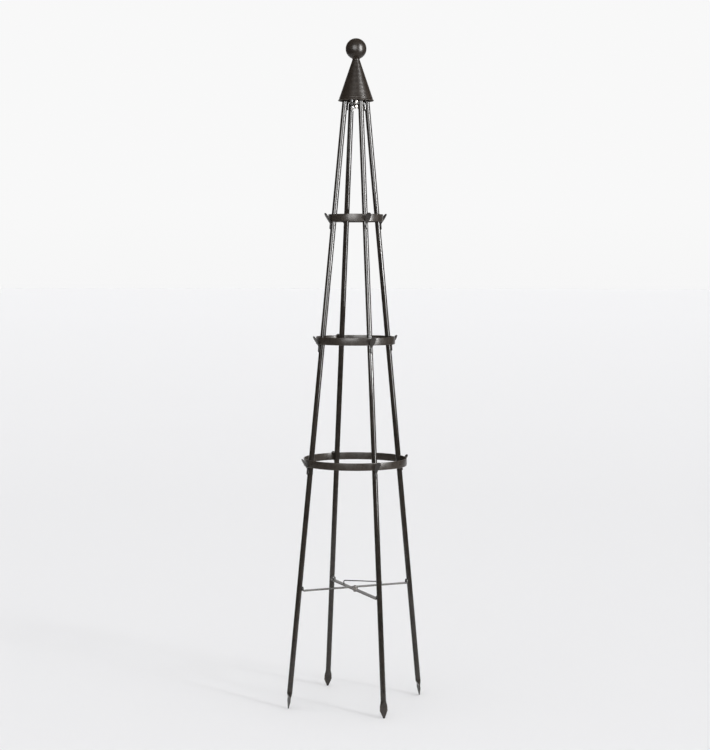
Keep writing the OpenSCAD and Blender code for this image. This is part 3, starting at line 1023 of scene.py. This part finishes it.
def floor_material():
    """Matt pale grey that lightens with distance from the object, by FLOOR_PAINTED_LIGHT; this lightening is
    painted light, darker near the object and brighter far off, not a change in the floor's own colour.
    """
    t = Tree("floor")
    length = t.add("ShaderNodeVectorMath", {0: t.place}, operation="LENGTH").outputs["Value"]
    ramp = t.add("ShaderNodeValToRGB")
    t.feed(ramp.inputs[0], t.math("SQRT", t.math("DIVIDE", length, FLOOR_R), 0.0))
    stops = ramp.color_ramp.elements
    while len(stops) < len(FLOOR_PAINTED_LIGHT):
        stops.new(0.5)
    for stop, (away, tone) in zip(stops, FLOOR_PAINTED_LIGHT):
        stop.position = math.sqrt(away / FLOOR_R)
        stop.color = (tone * 0.998, tone * 0.998, tone * 1.012, 1)
    t.feed(t.shader.inputs["Base Color"], ramp.outputs[0])
    t.shader.inputs["Roughness"].default_value = 0.9
    t.shader.inputs["Specular IOR Level"].default_value = 0.1
    return t.material


bm = bmesh.new()
bmesh.ops.create_circle(bm, cap_ends=True, segments=128, radius=FLOOR_R)
floor_mesh = bpy.data.meshes.new("floor")
bm.to_mesh(floor_mesh)
bm.free()
floor_mesh.materials.append(floor_material())
floor = bpy.data.objects.new("floor", floor_mesh)
bpy.context.scene.collection.objects.link(floor)


def studio_flags():
    """Dark cards on the floor that only reflections see, as an endless bright floor greys paint."""
    far_aside = FLAG_ASIDE + FLAG_SPREAD * (FLAG_FAR - FLAG_AHEAD)
    near = [
        (-FLAG_FAR, -FLAG_FAR), (FLAG_FAR, -FLAG_FAR),
        (FLAG_FAR, FLAG_AHEAD), (-FLAG_FAR, FLAG_AHEAD),
    ]
    right = [
        (FLAG_ASIDE, FLAG_AHEAD), (FLAG_FAR, FLAG_AHEAD),
        (FLAG_FAR, FLAG_FAR), (far_aside, FLAG_FAR),
    ]
    left = [(-aside, ahead) for aside, ahead in reversed(right)]
    up = Vector((0, 0, FLAG_UP))
    bm = bmesh.new()
    for corners in (near, right, left):
        places = [RIGHTWARD * aside + FORWARD * ahead + up for aside, ahead in corners]
        bm.faces.new([bm.verts.new(place) for place in places])
    mesh = bpy.data.meshes.new("studio_flags")
    bm.to_mesh(mesh)
    bm.free()
    t = Tree("flag_cloth")
    t.shader.inputs["Base Color"].default_value = (0.08, 0.08, 0.08, 1)
    mesh.materials.append(t.material)
    flags = bpy.data.objects.new("studio_flags", mesh)
    flags.visible_camera = False
    flags.visible_diffuse = False
    flags.visible_shadow = False
    bpy.context.scene.collection.objects.link(flags)


studio_flags()


def studio_world():
    """A pale backdrop to look at; the light from it is dimmer away from behind the object."""
    world = bpy.data.worlds.new("studio")
    world.use_nodes = True
    bpy.context.scene.world = world
    nodes, links = world.node_tree.nodes, world.node_tree.links
    nodes.clear()
    out = nodes.new("ShaderNodeOutputWorld")
    shown, lit = nodes.new("ShaderNodeBackground"), nodes.new("ShaderNodeBackground")
    shown.inputs["Color"].default_value = (1, 1, 1, 1)
    place = nodes.new("ShaderNodeTexCoord")
    parts = nodes.new("ShaderNodeSeparateXYZ")
    links.new(place.outputs["Generated"], parts.inputs[0])
    rise = nodes.new("ShaderNodeMapRange")
    links.new(parts.outputs["Z"], rise.inputs["Value"])
    for index, value in ((1, -0.01), (2, 0.03), (3, BACKDROP * 0.985), (4, BACKDROP)):
        rise.inputs[index].default_value = value
    links.new(rise.outputs[0], shown.inputs["Strength"])
    ahead = nodes.new("ShaderNodeVectorMath")
    ahead.operation = "DOT_PRODUCT"
    ahead.inputs[1].default_value = FORWARD
    links.new(place.outputs["Generated"], ahead.inputs[0])
    spread = nodes.new("ShaderNodeMapRange")
    spread.interpolation_type = "SMOOTHSTEP"
    links.new(ahead.outputs["Value"], spread.inputs["Value"])
    for index, value in ((1, 0.75), (2, 0.97), (3, 0.05), (4, 0.94)):
        spread.inputs[index].default_value = value
    links.new(spread.outputs[0], lit.inputs["Strength"])
    seen = nodes.new("ShaderNodeLightPath")
    mix = nodes.new("ShaderNodeMixShader")
    links.new(seen.outputs["Is Camera Ray"], mix.inputs[0])
    links.new(lit.outputs[0], mix.inputs[1])
    links.new(shown.outputs[0], mix.inputs[2])
    links.new(mix.outputs[0], out.inputs["Surface"])


studio_world()


# --- Lights ---


def softbox(name, turn, away, height, size, radiance):
    """A soft light for reflections alone, turned from the camera's side and facing the object."""
    data = bpy.data.lights.new(name, "AREA")
    data.shape = "RECTANGLE"
    data.size, data.size_y = size
    data.energy = radiance * math.pi * size[0] * size[1]
    light = bpy.data.objects.new(name, data)
    toward = Matrix.Rotation(math.radians(turn), 3, "Z") @ -FORWARD
    light.location = toward * away + Vector((0, 0, height))
    light.rotation_euler = (-toward).to_track_quat("-Z", "Y").to_euler()
    light.visible_diffuse = False
    bpy.context.scene.collection.objects.link(light)


def even_light(name, turn, elevation, strength, spread):
    """Light for the whole scene that reflections don't show; a wide spread blurs its shadows."""
    data = bpy.data.lights.new(name, "SUN")
    data.energy = strength
    data.angle = math.radians(spread)
    light = bpy.data.objects.new(name, data)
    toward = Matrix.Rotation(math.radians(turn), 3, "Z") @ -FORWARD
    height = math.radians(elevation)
    aim = -toward * math.cos(height) - Vector((0, 0, math.sin(height)))
    light.rotation_euler = aim.to_track_quat("-Z", "Y").to_euler()
    light.visible_glossy = False
    bpy.context.scene.collection.objects.link(light)


softbox("key_softbox", turn=55, away=2.7, height=2.5, size=(1.1, 2.5), radiance=38)
softbox("key_low", turn=55, away=2.7, height=1.0, size=(1.1, 0.7), radiance=15)
softbox("fill_softbox", turn=-14, away=3.3, height=2.52, size=(2.3, 2.4), radiance=12.5)
even_light("overhead", turn=20, elevation=75, strength=2.77, spread=110)
even_light("key_side", turn=49, elevation=28, strength=0.52, spread=4)
even_light("key_wash", turn=55, elevation=8, strength=1.2, spread=30)
